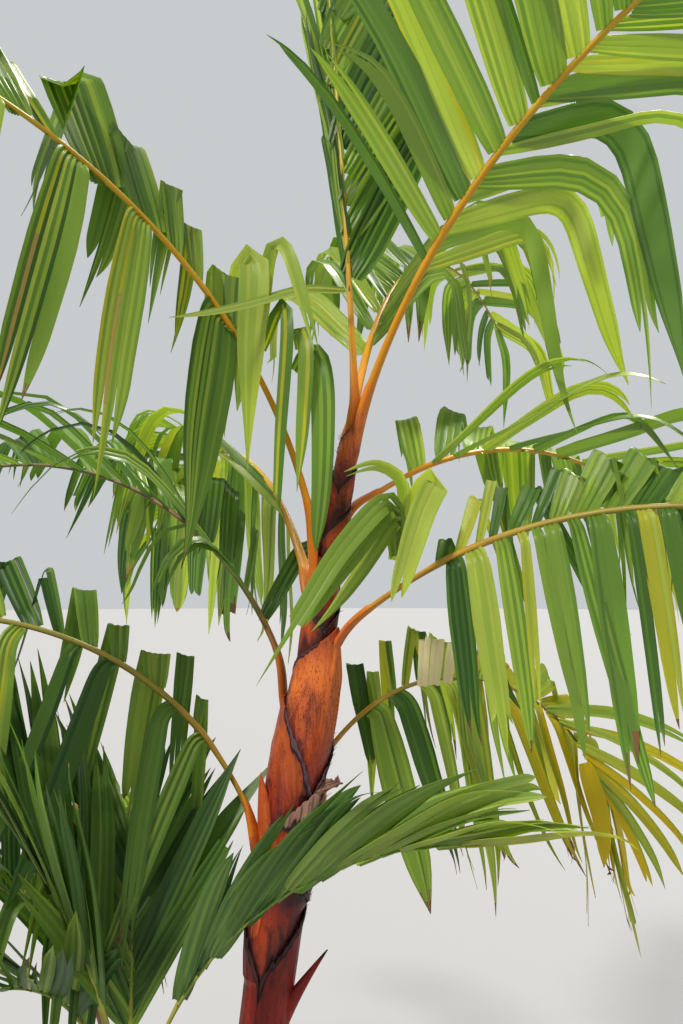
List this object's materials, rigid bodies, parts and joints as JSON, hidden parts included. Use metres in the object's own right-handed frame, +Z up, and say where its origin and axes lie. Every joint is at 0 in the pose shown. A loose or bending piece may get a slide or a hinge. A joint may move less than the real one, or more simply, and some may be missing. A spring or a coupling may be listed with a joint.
{
  "type": "orange crownshaft palm",
  "caption": "Young clumping palm, rooted at a flat cut: a leaning stem wrapped in orange leaf sheaths, arching feathered fronds on orange stalks, and suckers at its foot.",
  "frame": {"origin": "centre of the flat cut under the main stem, at ground level", "axes": "+Z up; +X to the right and +Y away, as seen by someone who faces the palm"},
  "size_m": [2.3695, 2.2995, 3.3828],
  "materials": {
    "stem_bark": "ringed stem bark, grey-brown and green, dry and matt",
    "crownshaft": "smooth waxy leaf sheath, deep orange with red and dark brown edges, satin",
    "dead_sheath": "old leaf sheath, dark red to brown, dry with papery torn edges",
    "leaf": "pleated green leaflets, lighter under, thin and a little see-through, satin",
    "old_leaf": "yellowing leaflets with yellow and brown tips, satin"
  },
  "bodies": {
    "root": {"trunk": "stem_bark", "sheath_upper_right": "crownshaft", "sheath_back_high": "crownshaft", "sheath_back_right": "crownshaft", "sheath_upper_left": "crownshaft", "sheath_back_low": "crownshaft", "sheath_mid_right": "crownshaft", "sheath_mid_left": "crownshaft", "sheath_low_right": "crownshaft", "sheath_low_left": "crownshaft", "sheath_dead": "dead_sheath", "sheath_oldest": "dead_sheath", "petiole_stub": "dead_sheath", "sucker_front_stem": "stem_bark", "sucker_front_sheath": "crownshaft", "sucker_side_stem": "stem_bark", "sucker_side_sheath": "crownshaft", "frond_upper_right": "leaf", "frond_spear": "leaf", "frond_upper_left": "leaf", "frond_mid_right": "leaf", "frond_back_right": "leaf", "frond_mid_left": "leaf", "frond_low_left": "leaf", "frond_low_right": "old_leaf", "frond_back_high": "leaf", "frond_back_low": "leaf", "sucker_front_frond_right": "leaf", "sucker_front_frond_left": "leaf", "sucker_front_frond_back": "leaf", "sucker_side_frond_left": "leaf", "sucker_side_frond_back": "leaf", "sucker_side_frond_front": "leaf"}
  },
  "joints": []
}
